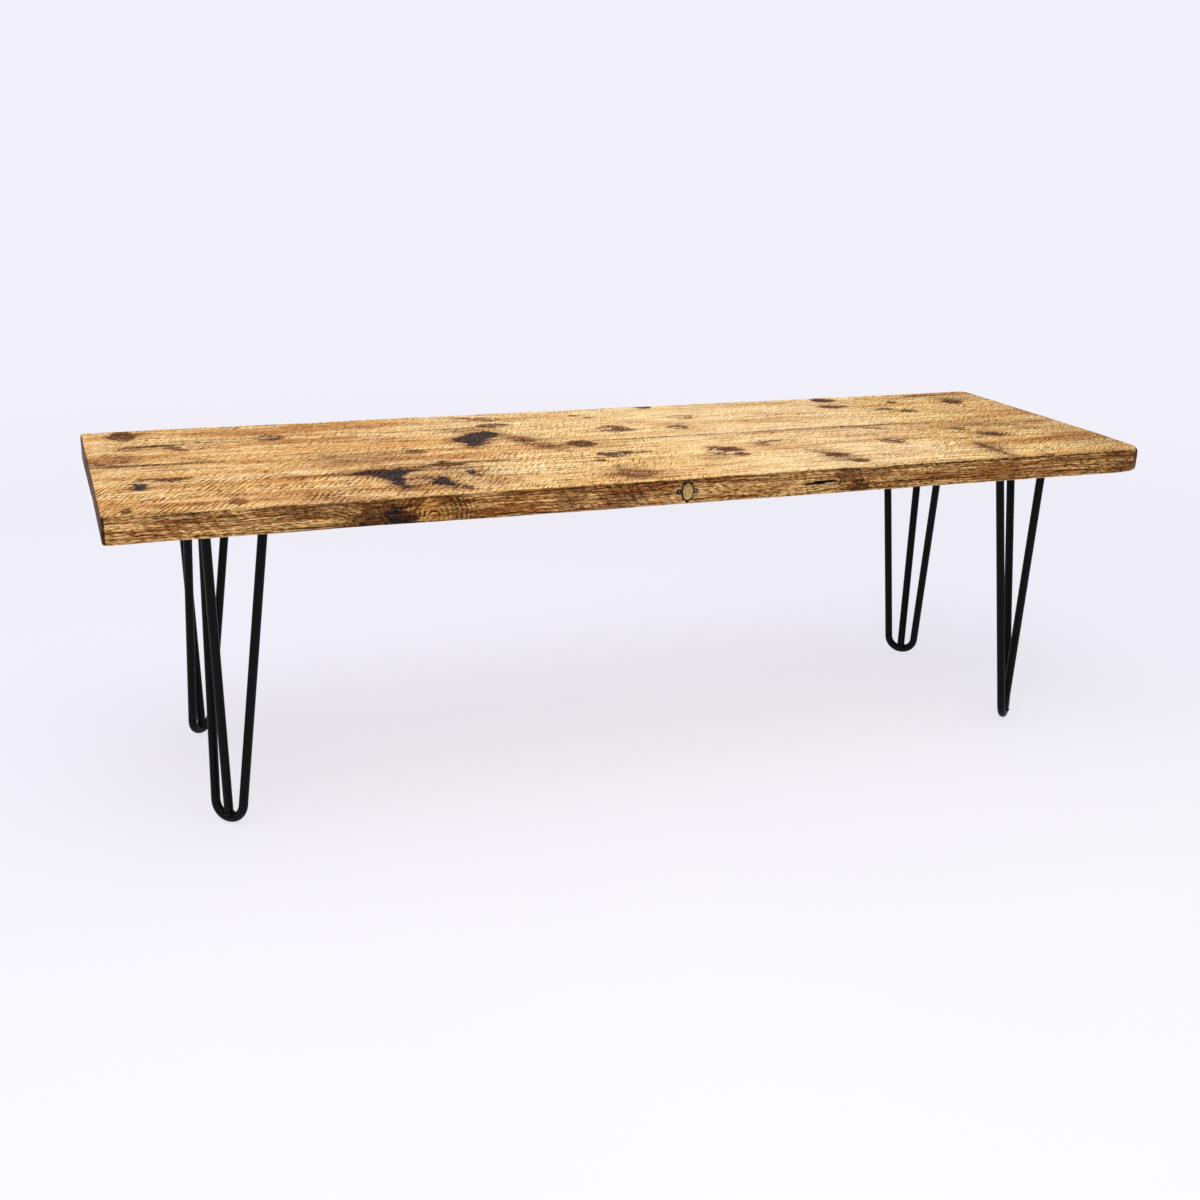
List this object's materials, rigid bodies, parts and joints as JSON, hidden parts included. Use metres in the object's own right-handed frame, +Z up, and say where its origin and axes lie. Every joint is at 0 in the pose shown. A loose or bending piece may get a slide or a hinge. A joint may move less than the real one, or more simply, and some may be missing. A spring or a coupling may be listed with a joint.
{
  "type": "bench",
  "caption": "Low wooden bench: a thick rough-sawn plank seat of edge-joined boards on splayed steel hairpin legs, to sit on.",
  "frame": {"origin": "on the floor under the middle of the seat", "axes": "+X along the seat, +Y to the back, +Z up"},
  "size_m": [1.46, 0.4747, 0.44],
  "materials": {
    "waxed_pine": "rough sawn, stained and waxed, satin",
    "beech_dowel": "plain, dry",
    "black_steel": "satin black paint on round bar",
    "black_weld": "rippled weld under satin black paint",
    "zinc_screw": "zinc plated",
    "dark_bronze": "antique dark bronze",
    "aged_brass": "brushed and aged",
    "nickel_pin": "polished domed heads"
  },
  "bodies": {
    "root": {"front_board": "waxed_pine", "back_board": "waxed_pine", "joint_dowels": "beech_dowel", "badge_bezel": "dark_bronze", "badge_disc": "aged_brass", "badge_pins": "nickel_pin", "front_left_hairpin_rod": "black_steel", "front_left_brace_rod": "black_steel", "front_left_mounting_plate": "black_steel", "front_left_weld_beads": "black_weld", "front_left_plate_screws": "zinc_screw", "front_right_hairpin_rod": "black_steel", "front_right_brace_rod": "black_steel", "front_right_mounting_plate": "black_steel", "front_right_weld_beads": "black_weld", "front_right_plate_screws": "zinc_screw", "back_left_hairpin_rod": "black_steel", "back_left_brace_rod": "black_steel", "back_left_mounting_plate": "black_steel", "back_left_weld_beads": "black_weld", "back_left_plate_screws": "zinc_screw", "back_right_hairpin_rod": "black_steel", "back_right_brace_rod": "black_steel", "back_right_mounting_plate": "black_steel", "back_right_weld_beads": "black_weld", "back_right_plate_screws": "zinc_screw"}
  },
  "joints": []
}
